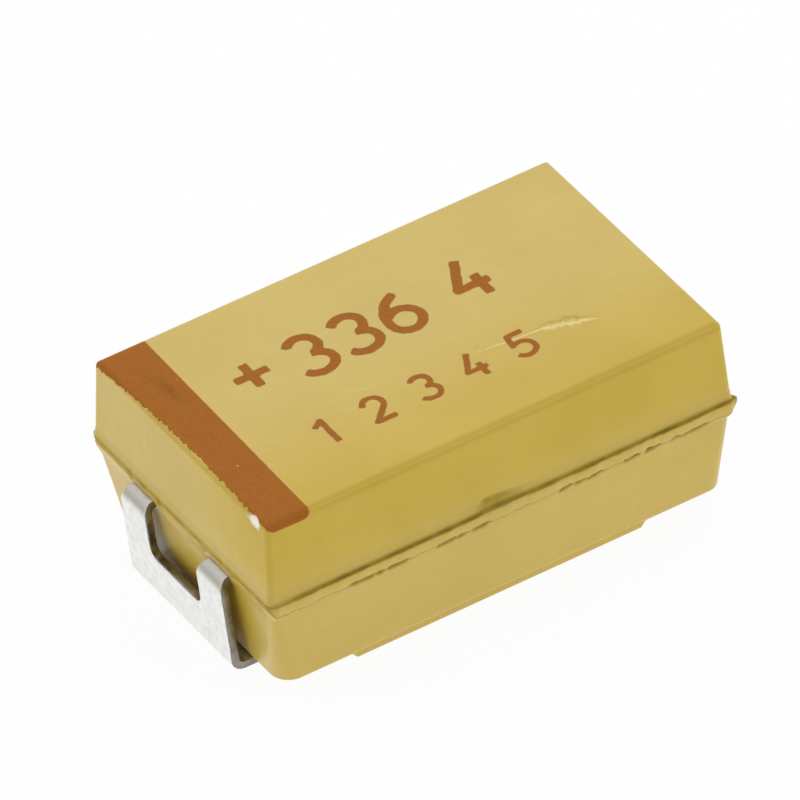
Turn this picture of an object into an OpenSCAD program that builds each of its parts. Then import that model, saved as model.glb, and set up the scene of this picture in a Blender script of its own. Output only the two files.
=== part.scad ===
// Moulded tantalum chip capacitor, large case size, for surface mounting.
// Origin: middle of the footprint, on the board. +Z up, X along the length, anode end at -X.

/* [Moulded case] */
// Length of the case at the parting line
case_l = 6.92; // [5.7:0.01:8.3]
// Width of the case at the parting line
case_w = 4.22; // [3.5:0.01:5.1]
// Height of the upper half, from the parting line to the top
upper_h = 1.23; // [1.02:0.01:1.5]
// Height of the lower half, from the floor that rests on the lands to the parting line
lower_h = 1.55; // [1.29:0.01:1.9]
// Draft of the upper half, degrees
upper_draft = 2.7; // [0:0.1:5]
// Draft of the lower half, degrees
lower_draft = 6.7; // [0:0.1:8]
// Radius of the upright edges at the parting line and the top
upright_r = 0.13; // [0.12:0.01:0.25]
// Radius of the top edges
top_edge_r = 0.12; // [0.05:0.01:0.12]
// Radius of the upright edges at the case's floor
foot_r = 0.30; // [0.15:0.01:0.40]
// Radius of the floor's edges
foot_edge_r = 0.08; // [0.04:0.01:0.12]

/* [Flash strip] */
// Height of the strip under the parting line
flash_h = 0.15; // [0.05:0.01:0.20]
// How far the strip stands out of the long sides
flash_side = 0.08; // [0.02:0.01:0.12]
// How far the strip stands out of the ends
flash_end = 0.05; // [0.02:0.01:0.06]

/* [Glue pad] */
// Gap from the pad's underside to the board
pad_gap = 0.04; // [0.02:0.01:0.08]
// Gap from the end of each land to the pad
pad_clear = 0.13; // [0.05:0.01:0.40]
// Distance from the pad's side to the floor's side
pad_inset = 0.03; // [0.01:0.01:0.20]
// Slope of the pad's ends, degrees from upright
pad_end_slope = 50; // [10:1:65]

/* [Lead frame] */
// Thickness of the strip metal
lead_t = 0.12; // [0.10:0.01:0.15]
// Width of each terminal
lead_w = 2.40; // [2.2:0.01:2.9]
// Inside radius of the bends
bend_r = 0.08; // [0.05:0.01:0.15]
// How far each terminal stands out of the case's end
lead_out = 0.19; // [0.16:0.01:0.25]
// Distance from the parting line down to the strip's top face
lead_drop = 0.13; // [0.08:0.01:0.20]
// Length of the land under the case, from the terminal's outer face
land_l = 1.30; // [1.0:0.01:1.4]
// Lean of the folded plate towards the case, degrees
plate_lean = 4.1; // [0:0.1:6]
// Width of the window between the legs
window_w = 1.20; // [0.8:0.01:1.5]
// Height of the window's sill above the board
sill_z = 0.76; // [0.5:0.01:1.0]
// Radius of the window's lower corners
sill_r = 0.16; // [0.05:0.01:0.30]
// Depth from the case's end at which the legs join
fork_depth = 0.36; // [0.2:0.01:0.6]
// Length of the anode's weld tab, inwards from the joined legs
weld_tab_l = 0.66; // [0.4:0.01:0.8]
// Width of the weld tab
weld_tab_w = 1.40; // [1.0:0.01:2.0]
// Depth from the case's end to the cathode's riser
riser_depth = 0.66; // [0.5:0.01:0.9]
// Length of the cathode's shelf under the pellet, from the riser's middle
shelf_l = 2.10; // [1.2:0.01:2.6]

/* [Pellet and its coats] */
// Epoxy beside the coated pellet, at the parting line
wall_t = 0.37; // [0.3:0.01:0.6]
// Epoxy over the coated pellet
roof_t = 0.33; // [0.25:0.01:0.5]
// Least epoxy under the cathode's shelf
under_t = 0.15; // [0.1:0.01:0.3]
// Chamfer along the pellet's four long edges
pellet_chamfer = 0.12; // [0.05:0.01:0.30]
// Thickness of the manganese dioxide coat
oxide_t = 0.03; // [0.02:0.01:0.05]
// Thickness of the graphite coat
graphite_t = 0.03; // [0.02:0.01:0.04]
// Thickness of the silver coat
silver_t = 0.03; // [0.02:0.01:0.05]
// Distance from the pellet's wire end to the edge of the graphite coat
graphite_back = 0.15; // [0.05:0.01:0.40]
// Distance from the edge of the graphite coat to the edge of the silver coat
silver_back = 0.10; // [0.05:0.01:0.40]
// Thickness of the silver adhesive over the cathode's shelf
glue_t = 0.04; // [0.02:0.01:0.06]
// Gap between the silver coat and the cathode's riser
riser_gap = 0.06; // [0.02:0.01:0.15]

/* [Anode wire] */
// Diameter of the wire
wire_d = 0.28; // [0.20:0.01:0.40]
// Length of the wire inside the pellet
wire_in = 2.60; // [1.0:0.01:2.9]
// Length of bare wire between the weld tab and the washer
wire_bare = 0.44; // [0.2:0.01:0.8]
// Length of the wire on the weld tab
weld_l = 0.45; // [0.2:0.01:0.55]
// Depth of the weld's seat in the tab
weld_depth = 0.03; // [0.01:0.01:0.06]
// Diameter of the insulating washer
washer_d = 0.90; // [0.7:0.01:1.1]
// Thickness of the insulating washer
washer_t = 0.20; // [0.1:0.01:0.3]

/* [Hidden] */
$fn = 48;
knob_fn = 32;        // facets of the rounded corners that are hulled
bend_steps = 12;     // chords in each bend of the strips
over = 0.5;          // how far a cutter runs past what it cuts

// Case: its floor rests on the lands.
floor_z = lead_t;
parting_z = floor_z + lower_h;
top_z = parting_z + upper_h;
floor_w = case_w - 2 * lower_h * tan(lower_draft);

// Strip: its middle plane inside the case, and the corners of its folded path.
over_l = case_l + 2 * lead_out;
lead_top = parting_z - lead_drop;
lead_z = lead_top - lead_t / 2;
mid_r = bend_r + lead_t / 2;
knee_x = over_l / 2 - (bend_r + lead_t) + mid_r * tan((90 + plate_lean) / 2);
heel_x = knee_x - (lead_z - lead_t / 2) * tan(plate_lean);
land_end_x = over_l / 2 - land_l;
fork_x = case_l / 2 - fork_depth;
tab_x = fork_x - weld_tab_l;
riser_x = case_l / 2 - riser_depth - lead_t / 2;
pad_root_x = land_end_x - pad_clear;

// Wire and pellet: the wire lies in the weld tab's seat, and the pellet is threaded on it.
wire_z = lead_top + wire_d / 2 - weld_depth;
wire_x = -tab_x - weld_l;
coats_t = oxide_t + graphite_t + silver_t;
pellet_end = riser_x - lead_t / 2 - riser_gap - coats_t;
pellet_start = -tab_x + wire_bare + washer_t + oxide_t;
pellet_w = case_w - 2 * (wall_t + coats_t);
room_above = top_z - roof_t - wire_z;
room_below = wire_z - floor_z - under_t - lead_t - glue_t;
pellet_h = 2 * (min(room_above, room_below) - coats_t);
shelf_z = wire_z - pellet_h / 2 - coats_t - glue_t - lead_t / 2;
shelf_x = riser_x - shelf_l;

// Centre lines of the strips in the XZ plane: the folded part outside the case, then each inner part.
outer_path = [[land_end_x, lead_t / 2], [heel_x, lead_t / 2], [knee_x, lead_z]];
anode_inner = [[tab_x, lead_z]];
cathode_inner = [[riser_x, lead_z], [riser_x, shelf_z], [shelf_x, shelf_z]];

function heading(a, b) = atan2(b[1] - a[1], b[0] - a[0]);
function turn(a, b, c) = (heading(b, c) - heading(a, b) + 540) % 360 - 180;
// Length of strip that the bend at point i takes from each side of it.
function bend_cut(path, i) = mid_r * tan(abs(turn(path[i - 1], path[i], path[i + 1])) / 2);
// One face of the folded strip: the path moved d to its left, with each bend as an arc.
function face_at(path, d) = [
    for (i = [0 : len(path) - 1])
        let (last = len(path) - 1, way = heading(path[max(i - 1, 0)], path[max(i, 1)]))
        if (i == 0 || i == last) path[i] + d * [-sin(way), cos(way)]
        else let (a = turn(path[i - 1], path[i], path[i + 1]), side = sign(a),
                  start = path[i] - bend_cut(path, i) * [cos(way), sin(way)],
                  centre = start + side * mid_r * [-sin(way), cos(way)])
            for (k = [0 : bend_steps])
                let (b = way - 90 * side + a * k / bend_steps)
                centre + (mid_r - side * d) * [cos(b), sin(b)]
];
function reversed(v) = [for (i = [len(v) - 1 : -1 : 0]) v[i]];

// ---------- folded strip ----------

// Section of a strip folded along a path of corner points.
module folded_section(path) {
    polygon(concat(face_at(path, lead_t / 2), reversed(face_at(path, -lead_t / 2))));
}

// The section, made w wide across Y.
module folded_strip(path, w) {
    rotate([90, 0, 0]) translate([0, 0, -w / 2]) linear_extrude(w) folded_section(path);
}

// Cutter for the window between the legs: from inside the case out through the folded plate.
module window_cut() {
    top = parting_z + over;
    translate([fork_x, 0, 0]) rotate([90, 0, 90]) linear_extrude(over_l) {
        translate([-window_w / 2, sill_z + sill_r]) square([window_w, top - sill_z]);
        translate([-window_w / 2 + sill_r, sill_z]) square([window_w - 2 * sill_r, top - sill_z]);
        for (s = [-1, 1]) translate([s * (window_w / 2 - sill_r), sill_z + sill_r]) circle(sill_r);
    }
}

// Cutter that narrows the anode's inner end to the weld tab, at the strip's own level only.
module tab_shoulders() {
    for (s = [0, 1]) mirror([0, s, 0])
        translate([0, weld_tab_w / 2, lead_z - lead_t]) cube([fork_x - lead_t, lead_w, 2 * lead_t]);
}

// A forked strip with its open end at +X. "buried" runs it straight out of the case instead of folding it.
module forked_strip(inner, buried) {
    difference() {
        folded_strip(concat(buried ? [[over_l, lead_z]] : outer_path, inner), lead_w);
        window_cut();
    }
}

module anode_strip(buried = false) {
    mirror([1, 0, 0]) difference() {
        forked_strip(anode_inner, buried);
        tab_shoulders();
    }
}

module cathode_strip(buried = false) {
    forked_strip(cathode_inner, buried);
}

// ---------- pellet, coats and wire ----------

// Block with chamfered long edges: the pellet grown by t all round, from x0 to x1.
module pellet_block(t, x0, x1) {
    w = pellet_w / 2 + t;
    h = pellet_h / 2 + t;
    c = pellet_chamfer + t * (2 - sqrt(2));
    quarter = [[w, h - c], [w - c, h]];
    translate([x0, 0, wire_z]) rotate([90, 0, 90]) linear_extrude(x1 - x0)
        polygon([for (s = [[1, 1], [-1, 1], [-1, -1], [1, -1]], i = s[0] == s[1] ? [0, 1] : [1, 0])
            [s[0] * quarter[i][0], s[1] * quarter[i][1]]]);
}

// Rod along X through the wire's centre line.
module wire_rod(d, x0, x1) {
    translate([x0, 0, wire_z]) rotate([0, 90, 0]) cylinder(d = d, h = x1 - x0);
}

module oxide_block() pellet_block(oxide_t, pellet_start - oxide_t, pellet_end + oxide_t);

module graphite_block()
    pellet_block(oxide_t + graphite_t, pellet_start + graphite_back, pellet_end + oxide_t + graphite_t);

module silver_block()
    pellet_block(coats_t, pellet_start + graphite_back + silver_back, pellet_end + coats_t);

module glue_block() {
    l = riser_x - lead_t / 2 - bend_r - shelf_x;
    translate([shelf_x, -lead_w / 2, shelf_z + lead_t / 2]) cube([l, lead_w, glue_t]);
}

module washer_block() wire_rod(washer_d, pellet_start - oxide_t - washer_t, pellet_start - oxide_t);

// ---------- moulded case ----------

// Rounded corner, plan_r in plan and edge_r on its rim, for a hull.
module corner_knob(plan_r, edge_r) {
    rotate_extrude($fn = knob_fn) intersection() {
        translate([plan_r - edge_r, 0]) circle(edge_r, $fn = knob_fn);
        translate([0, -edge_r]) square([plan_r, 2 * edge_r]);
    }
}

// Half of the mould: opens at z = 0 with the case's full outline and narrows by its draft to z = depth.
module case_half(depth, draft, plan_r, edge_r) {
    inset = depth * tan(draft);
    hull() for (sx = [-1, 1], sy = [-1, 1]) {
        translate([sx * (case_l / 2 - upright_r), sy * (case_w / 2 - upright_r), 0])
            cylinder(r = upright_r, h = 0.01, $fn = knob_fn);
        translate([sx * (case_l / 2 - inset - plan_r), sy * (case_w / 2 - inset - plan_r), depth - edge_r])
            corner_knob(plan_r, edge_r);
    }
}

module rounded_plate(l, w, r, h) {
    linear_extrude(h) {
        square([l - 2 * r, w], center = true);
        square([l, w - 2 * r], center = true);
        for (sx = [-1, 1], sy = [-1, 1]) translate([sx * (l / 2 - r), sy * (w / 2 - r)]) circle(r);
    }
}

// Flash squeezed out all round under the parting line.
module flash_strip() {
    translate([0, 0, parting_z - flash_h])
        rounded_plate(case_l + 2 * flash_end, case_w + 2 * flash_side, upright_r + flash_end, flash_h);
}

// Pad under the middle of the case, for the drop of glue that holds it to the board.
module glue_pad() {
    w = floor_w - 2 * pad_inset;
    pad_h = floor_z - pad_gap;
    flat_x = pad_root_x - pad_h * tan(pad_end_slope);
    translate([0, w / 2, 0]) rotate([90, 0, 0]) linear_extrude(w)
        polygon([[-flat_x, pad_gap], [flat_x, pad_gap], [pad_root_x, floor_z], [pad_root_x, floor_z + pad_h],
                 [-pad_root_x, floor_z + pad_h], [-pad_root_x, floor_z]]);
}

// ---------- pieces ----------

module moulded_case() {
    color("darkkhaki") difference() {
        union() {
            translate([0, 0, parting_z]) {
                case_half(upper_h, upper_draft, upright_r, top_edge_r);
                rotate([180, 0, 0]) case_half(lower_h, lower_draft, foot_r, foot_edge_r);
            }
            flash_strip();
            glue_pad();
        }
        anode_strip(buried = true);
        cathode_strip(buried = true);
        oxide_block();
        graphite_block();
        silver_block();
        glue_block();
        washer_block();
        wire_rod(wire_d, wire_x, pellet_start);
    }
}

module anode_terminal() {
    color("silver") difference() {
        anode_strip();
        wire_rod(wire_d, wire_x, pellet_start);
    }
}

module cathode_terminal() {
    color("silver") cathode_strip();
}

module tantalum_pellet() {
    color("dimgray") difference() {
        pellet_block(0, pellet_start, pellet_end);
        wire_rod(wire_d, pellet_start - over, pellet_start + wire_in);
    }
}

module anode_wire() {
    color("slategray") wire_rod(wire_d, wire_x, pellet_start + wire_in);
}

module insulating_washer() {
    color("white") difference() {
        washer_block();
        wire_rod(wire_d, wire_x, pellet_start);
    }
}

module manganese_dioxide_coat() {
    color("black") difference() {
        oxide_block();
        pellet_block(0, pellet_start, pellet_end);
        wire_rod(wire_d, wire_x, pellet_start + over);
    }
}

module graphite_coat() {
    color("darkslategray") difference() {
        graphite_block();
        oxide_block();
    }
}

module silver_coat() {
    color("gainsboro") difference() {
        silver_block();
        graphite_block();
    }
}

module silver_adhesive() {
    color("lightgray") glue_block();
}

moulded_case();
anode_terminal();
cathode_terminal();
tantalum_pellet();
anode_wire();
insulating_washer();
manganese_dioxide_coat();
graphite_coat();
silver_coat();
silver_adhesive();
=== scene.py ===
import math

import bmesh
import bpy
import numpy as np
from mathutils import Matrix, Vector
from mathutils.geometry import delaunay_2d_cdt


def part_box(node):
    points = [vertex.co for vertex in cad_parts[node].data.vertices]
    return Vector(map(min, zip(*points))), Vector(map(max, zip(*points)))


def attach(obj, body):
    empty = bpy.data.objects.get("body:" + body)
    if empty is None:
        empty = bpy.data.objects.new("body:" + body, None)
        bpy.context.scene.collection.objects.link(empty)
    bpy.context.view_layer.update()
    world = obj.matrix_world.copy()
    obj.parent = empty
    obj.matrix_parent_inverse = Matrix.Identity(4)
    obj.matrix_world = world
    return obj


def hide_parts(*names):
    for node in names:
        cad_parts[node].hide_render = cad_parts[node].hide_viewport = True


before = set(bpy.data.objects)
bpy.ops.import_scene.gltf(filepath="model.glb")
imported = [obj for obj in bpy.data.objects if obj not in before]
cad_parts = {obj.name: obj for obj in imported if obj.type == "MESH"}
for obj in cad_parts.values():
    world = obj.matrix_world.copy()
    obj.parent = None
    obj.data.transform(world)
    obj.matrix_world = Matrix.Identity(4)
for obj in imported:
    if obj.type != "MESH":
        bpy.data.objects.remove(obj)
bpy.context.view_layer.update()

scene = bpy.context.scene
MM = 0.001  # sizes below are in millimetres, and meshes are scaled to metres as they are made


# ---------- tantalum pellet ----------
# Tantalum powder pressed round the end of a wire and sintered in vacuum to a hard, porous block.
# It is dull grey, and its surface shows the fused grains.

def add_node(tree, kind, inputs=None, **settings):
    """A node with its settings. Each input is a value, or another node's output to link."""
    made = tree.nodes.new(kind)
    for name, value in settings.items():
        setattr(made, name, value)
    for socket, value in (inputs or {}).items():
        if isinstance(value, bpy.types.NodeSocket):
            tree.links.new(value, made.inputs[socket])
        else:
            made.inputs[socket].default_value = value
    return made


def new_group(name, inputs, outputs):
    """An empty shader group with these sockets: name: (kind, default) in, and name: kind out."""
    group = bpy.data.node_groups.new(name, "ShaderNodeTree")
    for label, (kind, value) in inputs.items():
        socket = group.interface.new_socket(label, in_out="INPUT", socket_type="NodeSocket" + kind)
        socket.default_value = value
    for label, kind in outputs.items():
        group.interface.new_socket(label, in_out="OUTPUT", socket_type="NodeSocket" + kind)
    return group, group.nodes.new("NodeGroupInput").outputs, group.nodes.new("NodeGroupOutput")


def grain_group():
    """Grains of a given size: a soft mottle for colour, and a height for bump, both from 0 to 1."""
    inputs = {"Size mm": ("Float", 0.02), "Stretch X": ("Float", 1.0), "Crispness": ("Float", 0.5)}
    group, given, out = new_group("Grain", inputs, {"Mottle": "Float", "Height": "Float"})
    place = add_node(group, "ShaderNodeTexCoord").outputs["Object"]
    along = add_node(group, "ShaderNodeMath", {0: 1.0, 1: given["Stretch X"]}, operation="DIVIDE")
    squeeze = add_node(group, "ShaderNodeCombineXYZ", {"X": along.outputs[0], "Y": 1.0, "Z": 1.0})
    flat = add_node(group, "ShaderNodeVectorMath", {0: place, 1: squeeze.outputs[0]}, operation="MULTIPLY")
    size = add_node(group, "ShaderNodeMath", {0: 1 / MM, 1: given["Size mm"]}, operation="DIVIDE").outputs[0]
    coarse = add_node(group, "ShaderNodeMath", {0: size, 1: 0.23}, operation="MULTIPLY").outputs[0]
    soft = add_node(group, "ShaderNodeTexNoise", {"Vector": flat.outputs[0], "Scale": coarse, "Detail": 3.0})
    fine = add_node(group, "ShaderNodeTexNoise", {"Vector": flat.outputs[0], "Scale": size, "Detail": 2.0})
    cells = add_node(group, "ShaderNodeTexVoronoi", {"Vector": flat.outputs[0], "Scale": size})
    height = add_node(
        group, "ShaderNodeMix",
        {"Factor": given["Crispness"], "A": fine.outputs["Fac"], "B": cells.outputs["Distance"]},
    )
    group.links.new(soft.outputs["Fac"], out.inputs["Mottle"])
    group.links.new(height.outputs["Result"], out.inputs["Height"])
    return group


grain = grain_group()


def grained_material(name, dark, light, metallic, roughness, grain_mm, bump, stretch=1.0, crispness=0.5):
    """A plain finish with grain: two colours mottled together, and a bump of that height in mm."""
    material = bpy.data.materials.new(name)
    material.use_nodes = True
    tree = material.node_tree
    surface = tree.nodes["Principled BSDF"]
    surface.inputs["Metallic"].default_value = metallic
    grains = add_node(
        tree, "ShaderNodeGroup", {"Size mm": grain_mm, "Stretch X": stretch, "Crispness": crispness},
        node_tree=grain,
    )
    tone = add_node(
        tree, "ShaderNodeMapRange",
        {"Value": grains.outputs["Mottle"], "From Min": 0.3, "From Max": 0.7},
    ).outputs["Result"]
    colour = add_node(
        tree, "ShaderNodeMix", {"Factor": tone, "A": (*dark, 1), "B": (*light, 1)}, data_type="RGBA",
    )
    rough = add_node(
        tree, "ShaderNodeMapRange",
        {"Value": grains.outputs["Height"], "To Min": roughness - 0.08, "To Max": roughness + 0.08},
    )
    relief = add_node(
        tree, "ShaderNodeBump", {"Height": grains.outputs["Height"], "Distance": bump * MM, "Strength": 1.0},
    )
    tree.links.new(colour.outputs["Result"], surface.inputs["Base Color"])
    tree.links.new(rough.outputs["Result"], surface.inputs["Roughness"])
    tree.links.new(relief.outputs["Normal"], surface.inputs["Normal"])
    return material


def finish_node(name, material):
    """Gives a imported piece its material. Its shape stays."""
    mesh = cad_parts[name].data
    mesh.materials.clear()
    mesh.materials.append(material)


finish_node("tantalum_pellet", grained_material(
    "sintered tantalum", dark=(0.07, 0.07, 0.075), light=(0.16, 0.16, 0.165),
    metallic=0.7, roughness=0.68, grain_mm=0.03, bump=0.006, crispness=0.8,
))


# ---------- anode wire ----------
# Drawn tantalum wire, sintered into the pellet and later welded to the anode's tab.
# It is bright grey with fine lines along it from the die.

finish_node("anode_wire", grained_material(
    "drawn tantalum wire", dark=(0.30, 0.30, 0.32), light=(0.48, 0.48, 0.50),
    metallic=1.0, roughness=0.34, grain_mm=0.012, bump=0.0015, stretch=40.0, crispness=0.0,
))


# ---------- insulating washer ----------
# A disc of white fluoropolymer, pushed over the wire so that the coats can't creep along it.
# It is waxy, with a faint skived texture.

finish_node("insulating_washer", grained_material(
    "white fluoropolymer", dark=(0.72, 0.72, 0.70), light=(0.82, 0.82, 0.80),
    metallic=0.0, roughness=0.42, grain_mm=0.05, bump=0.002, crispness=0.1,
))


# ---------- pellet's coats ----------
# The pellet is dipped and fired: black manganese dioxide, then graphite, then silver paint.
# Each coat stops a little short of the one below it at the wire end.

finish_node("manganese_dioxide_coat", grained_material(
    "manganese dioxide", dark=(0.010, 0.009, 0.008), light=(0.035, 0.030, 0.027),
    metallic=0.0, roughness=0.55, grain_mm=0.018, bump=0.004, crispness=0.9,
))
finish_node("graphite_coat", grained_material(
    "graphite coat", dark=(0.030, 0.030, 0.032), light=(0.075, 0.075, 0.080),
    metallic=0.3, roughness=0.48, grain_mm=0.035, bump=0.002, crispness=0.2,
))
finish_node("silver_coat", grained_material(
    "silver paint", dark=(0.46, 0.45, 0.42), light=(0.64, 0.63, 0.60),
    metallic=0.8, roughness=0.50, grain_mm=0.025, bump=0.002, crispness=0.3,
))


# ---------- terminals ----------
# Two forked strips of tinned iron-nickel sheet, punched from one lead frame and folded round the case
# once it is moulded. The tin is pale and a little uneven. The sheared edges show darker unplated metal
# with painted shade along them, and the legs are painted greyer from the bend on, as a darker reflection.

def box_mm(node):
    """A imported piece's lowest and highest corners, in millimetres."""
    return [np.array(corner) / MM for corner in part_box(node)]


strip_low, strip_high = box_mm("cathode_terminal")
glue_low, glue_high = box_mm("silver_adhesive")
anode_high = box_mm("anode_terminal")[1]
lead_t = 0.12
bend_r = 0.08
plate_lean = math.radians(4.1)
window_w = 1.20
punch_r = 0.05   # radius of the punched corners that end up in the case or under it
sill_z = 0.76
sill_r = 0.16
fork_x = 3.10
weld_tab_w = 1.40
tab_x = 2.44
half_over = strip_high[0]
half_lead = strip_high[1]
lead_z = strip_high[2] - lead_t / 2
land_end_x = -anode_high[0]
mid_r = bend_r + lead_t / 2
knee_x = half_over - (bend_r + lead_t) + mid_r * math.tan((math.pi / 2 + plate_lean) / 2)
heel_x = knee_x - (lead_z - lead_t / 2) * math.tan(plate_lean)
riser_x = glue_high[0] + bend_r + lead_t / 2
shelf_z = glue_low[2] - lead_t / 2
outer_path = [(land_end_x, lead_t / 2), (heel_x, lead_t / 2), (knee_x, lead_z)]
anode_path = outer_path + [(tab_x, lead_z)]
cathode_path = outer_path + [(riser_x, lead_z), (riser_x, shelf_z), (strip_low[0], shelf_z)]


def fold_line(corners, steps=24):
    """Points along a folded strip's middle line in X and Z, its left normals, and the length up to each."""
    corners = np.array(corners, float)
    points = [corners[0]]
    for before, corner, after in zip(corners, corners[1:], corners[2:]):
        into = (corner - before) / np.linalg.norm(corner - before)
        out = (after - corner) / np.linalg.norm(after - corner)
        turn = math.atan2(into[0] * out[1] - into[1] * out[0], into @ out)
        start = corner - into * mid_r * math.tan(abs(turn) / 2)
        side = np.array([-into[1], into[0]]) * math.copysign(1, turn)
        for k in range(steps + 1):
            a = abs(turn) * k / steps
            points.append(start + into * mid_r * math.sin(a) + side * mid_r * (1 - math.cos(a)))
    points.append(corners[-1])
    points = np.array(points)
    steps_along = np.diff(points, axis=0)
    lengths = np.linalg.norm(steps_along, axis=1)
    normals = np.stack([-steps_along[:, 1], steps_along[:, 0]], 1) / lengths[:, None]
    normals = np.vstack([normals[:1], normals[:-1] + normals[1:], normals[-1:]])
    normals /= np.linalg.norm(normals, axis=1)[:, None]
    return points, normals, np.concatenate([[0], np.cumsum(lengths)])


def rounded_outline(corners, radii, step=0.05):
    """A closed outline through these corners, each rounded to its radius, with points a step apart."""
    corners = np.array(corners, float)
    points = []
    for i, (corner, radius) in enumerate(zip(corners, radii)):
        into = corner - corners[i - 1]
        out = corners[(i + 1) % len(corners)] - corner
        into /= np.linalg.norm(into)
        out /= np.linalg.norm(out)
        turn = math.atan2(into[0] * out[1] - into[1] * out[0], into @ out)
        start = corner - into * radius * math.tan(abs(turn) / 2)
        side = np.array([-into[1], into[0]]) * math.copysign(1, turn)
        for a in np.linspace(0, abs(turn), 9):
            points.append(start + into * radius * math.sin(a) + side * radius * (1 - math.cos(a)))
    dense = []
    for a, b in zip(points, points[1:] + points[:1]):
        parts = max(1, int(np.linalg.norm(b - a) / step))
        dense += [a + (b - a) * k / parts for k in range(parts)]
    return np.array(dense)


def outline_normals(outline):
    """Unit vectors to the right of an outline's direction, at its points."""
    way = np.roll(outline, -1, axis=0) - np.roll(outline, 1, axis=0)
    way /= np.linalg.norm(way, axis=1)[:, None]
    return np.stack([way[:, 1], -way[:, 0]], 1)


def distance_to(points, outlines):
    """Distance from each point to the nearest outline."""
    nearest = np.full(len(points), np.inf)
    for outline in outlines:
        for a, b in zip(outline, np.roll(outline, -1, axis=0)):
            t = np.clip((points - a) @ (b - a) / ((b - a) @ (b - a)), 0, 1)
            nearest = np.minimum(nearest, np.linalg.norm(points - a - t[:, None] * (b - a), axis=1))
    return nearest


def inside(points, outlines):
    """Whether each point is inside the first outline and outside the others."""
    odd = np.zeros(len(points), bool)
    for outline in outlines:
        for a, b in zip(outline, np.roll(outline, -1, axis=0)):
            crosses = (a[1] > points[:, 1]) != (b[1] > points[:, 1])
            slope = (b[0] - a[0]) / (b[1] - a[1]) if b[1] != a[1] else 0
            odd ^= crosses & (points[:, 0] < a[0] + (points[:, 1] - a[1]) * slope)
    return odd


def ripple(at, wavelength, seed, waves=7):
    """A smooth random curve of about -1 to 1, with waves down to the given length."""
    rng = np.random.default_rng(seed)
    sizes = wavelength * rng.uniform(1, 4, waves)
    phases = rng.uniform(0, 2 * math.pi, waves)
    return sum(np.cos(2 * math.pi * at / s + p) for s, p in zip(sizes, phases)) / math.sqrt(waves)


def ramp(at, low, high):
    """0 below low, 1 above high, and a smooth rise between."""
    t = np.clip((at - low) / (high - low), 0, 1)
    return t * t * (3 - 2 * t)


def make_piece(name, points, faces, material, values=None, sharp=35):
    """A mesh piece from points in millimetres, with named values on its points, on the root body."""
    mesh = bpy.data.meshes.new(name)
    mesh.from_pydata((points * MM).tolist(), [], faces)
    mesh.validate()
    mesh.shade_smooth()
    mesh.set_sharp_from_angle(angle=math.radians(sharp))
    for key, value in (values or {}).items():
        mesh.attributes.new(key, "FLOAT", "POINT").data.foreach_set("value", value.astype(np.float32))
    mesh.materials.append(material)
    piece = bpy.data.objects.new(name, mesh)
    scene.collection.objects.link(piece)
    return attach(piece, "root")


def tin_plate():
    """Dull tin over the strip: unplated metal and painted shade darken the sheared edges, and the legs are
    painted greyer from the bend on, as a darker reflection.
    """
    material = bpy.data.materials.new("tin plate")
    material.use_nodes = True
    tree = material.node_tree
    surface = tree.nodes["Principled BSDF"]
    grains = add_node(tree, "ShaderNodeGroup", {"Size mm": 0.022, "Crispness": 0.35}, node_tree=grain)
    blotches = add_node(tree, "ShaderNodeGroup", {"Size mm": 0.11, "Crispness": 0.2}, node_tree=grain)
    edge = add_node(tree, "ShaderNodeAttribute", attribute_name="sheared").outputs["Fac"]
    patchy = add_node(
        tree, "ShaderNodeMapRange",
        {"Value": blotches.outputs["Height"], "From Min": 0.3, "From Max": 0.7},
    ).outputs["Result"]
    tin = add_node(
        tree, "ShaderNodeMix",
        {"Factor": patchy, "A": (0.76, 0.75, 0.72, 1), "B": (0.90, 0.90, 0.88, 1)}, data_type="RGBA",
    ).outputs["Result"]
    # The legs' tops are painted greyer, as a darker reflection.
    painted_dark = add_node(tree, "ShaderNodeAttribute", attribute_name="dim_reflection").outputs["Fac"]
    tin = add_node(
        tree, "ShaderNodeMix", {"Factor": painted_dark, "A": tin, "B": (0.50, 0.49, 0.43, 1)}, data_type="RGBA",
    ).outputs["Result"]
    # The sheared edges show unplated metal, darkened further with painted shade along the edge.
    shaded_bare_metal = add_node(
        tree, "ShaderNodeMix",
        {"Factor": grains.outputs["Mottle"], "A": (0.10, 0.085, 0.06, 1), "B": (0.42, 0.39, 0.34, 1)},
        data_type="RGBA",
    ).outputs["Result"]
    edge_and_mottle = add_node(
        tree, "ShaderNodeMath", {0: edge, 1: grains.outputs["Mottle"]}, operation="ADD",
    ).outputs[0]
    edge_shade_mask = add_node(
        tree, "ShaderNodeMapRange", {"Value": edge_and_mottle, "From Min": 0.75, "From Max": 1.15},
        interpolation_type="SMOOTHSTEP",
    ).outputs["Result"]
    colour = add_node(
        tree, "ShaderNodeMix", {"Factor": edge_shade_mask, "A": tin, "B": shaded_bare_metal}, data_type="RGBA",
    ).outputs["Result"]
    rough = add_node(
        tree, "ShaderNodeMapRange",
        {"Value": grains.outputs["Mottle"], "To Min": 0.24, "To Max": 0.46},
    ).outputs["Result"]
    relief = add_node(
        tree, "ShaderNodeBump",
        {"Height": grains.outputs["Height"], "Distance": 0.002 * MM, "Strength": 1.0},
    ).outputs["Normal"]
    relief = add_node(
        tree, "ShaderNodeBump",
        {"Height": blotches.outputs["Height"], "Distance": 0.004 * MM, "Strength": 1.0, "Normal": relief},
    ).outputs["Normal"]
    surface.inputs["Metallic"].default_value = 1.0
    tree.links.new(colour, surface.inputs["Base Color"])
    tree.links.new(rough, surface.inputs["Roughness"])
    tree.links.new(relief, surface.inputs["Normal"])
    return material


front_round = 0.020  # die roll on the strip's outer face
back_round = 0.008   # sharper edge on its inner face
edge_rings = (0.005, 0.012, 0.022)  # distances from the sheared edge at which the rounding gets points
row_step = 0.045     # spacing of the points along a flat stretch
bend_step = 0.018    # and round a bend
rows_across = 54
leg_neck = 0.20      # share of a leg's width that is lost at its bend


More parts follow.
